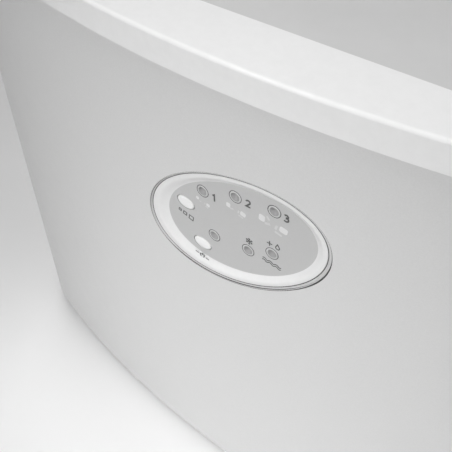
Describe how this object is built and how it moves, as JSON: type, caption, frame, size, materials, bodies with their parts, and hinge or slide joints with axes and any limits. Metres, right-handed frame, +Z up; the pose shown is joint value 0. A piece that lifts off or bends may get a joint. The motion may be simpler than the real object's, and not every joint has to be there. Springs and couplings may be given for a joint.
{
  "type": "countertop ice maker",
  "caption": "Countertop ice maker with a bowed grey front, a hinged white lid with a window and a tilted oval control panel with push buttons and lamps",
  "frame": {"origin": "centre of the footprint on the surface that the feet stand on", "axes": "+X is the machine's right seen from the front, the front faces -Y, +Z is up"},
  "size_m": [0.387, 0.3096, 0.2603],
  "materials": {
    "shell_grey": "satin painted plastic with a fine grain",
    "white_gloss": "glossy moulded plastic",
    "white_satin": "satin moulded plastic",
    "smoke_window": "clear tinted sheet",
    "silver_trim": "silver plated plastic ring",
    "panel_grey": "smooth printed film",
    "lamp_grey": "clear lamp lens, unlit",
    "button_white": "glossy push button",
    "black_rubber": "soft rubber",
    "steel": "zinc plated steel",
    "sheet_steel": "galvanised sheet",
    "board_green": "circuit board",
    "switch_black": "moulded switch body",
    "foam_white": "expanded foam",
    "liner_white": "food-safe moulded plastic",
    "basket_clear": "translucent moulded plastic",
    "nickel": "nickel plated copper",
    "copper": "copper tube",
    "compressor_black": "black enamelled steel",
    "alu_fins": "aluminium fins",
    "motor_grey": "moulded motor case",
    "hose_clear": "silicone hose",
    "float_blue": "foamed float"
  },
  "bodies": {
    "body": {"base_pan": "sheet_steel", "rubber_feet": "black_rubber", "foot_screws": "steel", "front_shell": "shell_grey", "left_side_panel": "shell_grey", "right_side_panel": "shell_grey", "rear_panel": "shell_grey", "housing_screws": "steel", "cable_gland": "black_rubber", "top_frame": "white_satin", "rear_deck": "white_gloss", "lid_bumpers": "black_rubber", "panel_bezel": "silver_trim", "panel_surround": "white_gloss", "panel_overlay": "panel_grey", "led_lenses": "lamp_grey", "panel_switches": "switch_black", "panel_board": "board_green", "panel_screws": "steel", "inner_liner": "liner_white", "foam_jacket": "foam_white", "ice_basket": "basket_clear", "evaporator_manifold": "nickel", "evaporator_fingers": "nickel", "evaporator_brackets": "white_satin", "tray_bearing": "white_satin", "tray_motor": "motor_grey", "water_pump": "motor_grey", "pump_hose": "hose_clear", "level_stem": "white_satin", "ice_sensors": "switch_black", "drain_tube": "hose_clear", "compressor_grommets": "black_rubber", "compressor": "compressor_black", "compressor_bolts": "steel", "condenser": "alu_fins", "fan_shroud": "motor_grey", "fan_motor": "motor_grey", "filter_drier": "copper", "discharge_pipe": "copper", "liquid_pipe": "copper", "capillary_pipe": "copper", "suction_pipe": "copper", "board_bracket": "sheet_steel", "main_board": "board_green"},
    "lid": {"lid_frame": "white_gloss", "lid_inner": "white_satin", "lid_window": "smoke_window", "hinge_pins": "steel"},
    "select": {"select_button": "button_white"},
    "power": {"power_button": "button_white"},
    "fan_rotor": {"fan": "switch_black"},
    "tray": {"water_tray": "liner_white"},
    "float": {"level_float": "float_blue"},
    "plug": {"drain_cap": "black_rubber"}
  },
  "joints": [
    {"name": "lid_hinge", "type": "hinge", "parent": "body", "child": "lid", "pos_m": [0, 0.0362, 0.2545], "axis": [-1, 0, 0], "range_deg": [0, 95]},
    {"name": "select_press", "type": "slide", "parent": "body", "child": "select", "axis": [0, 1, 0], "range_m": [0, 0.0008], "stiffness_N_per_m": 400},
    {"name": "power_press", "type": "slide", "parent": "body", "child": "power", "axis": [0, 1, 0], "range_m": [0, 0.0008], "stiffness_N_per_m": 400},
    {"name": "fan_spin", "type": "hinge", "parent": "body", "child": "fan_rotor", "pos_m": [0.161, 0.092, 0.084], "axis": [1, 0, 0], "continuous": true},
    {"name": "tray_tilt", "type": "hinge", "parent": "body", "child": "tray", "pos_m": [0, 0, 0.192], "axis": [1, 0, 0], "range_deg": [0, 60]},
    {"name": "float_rise", "type": "slide", "parent": "body", "child": "float", "axis": [0, 0, 1], "range_m": [0, 0.018]},
    {"name": "plug_pull", "type": "slide", "parent": "body", "child": "plug", "axis": [-1, 0, 0], "range_m": [0, 0.02]}
  ]
}
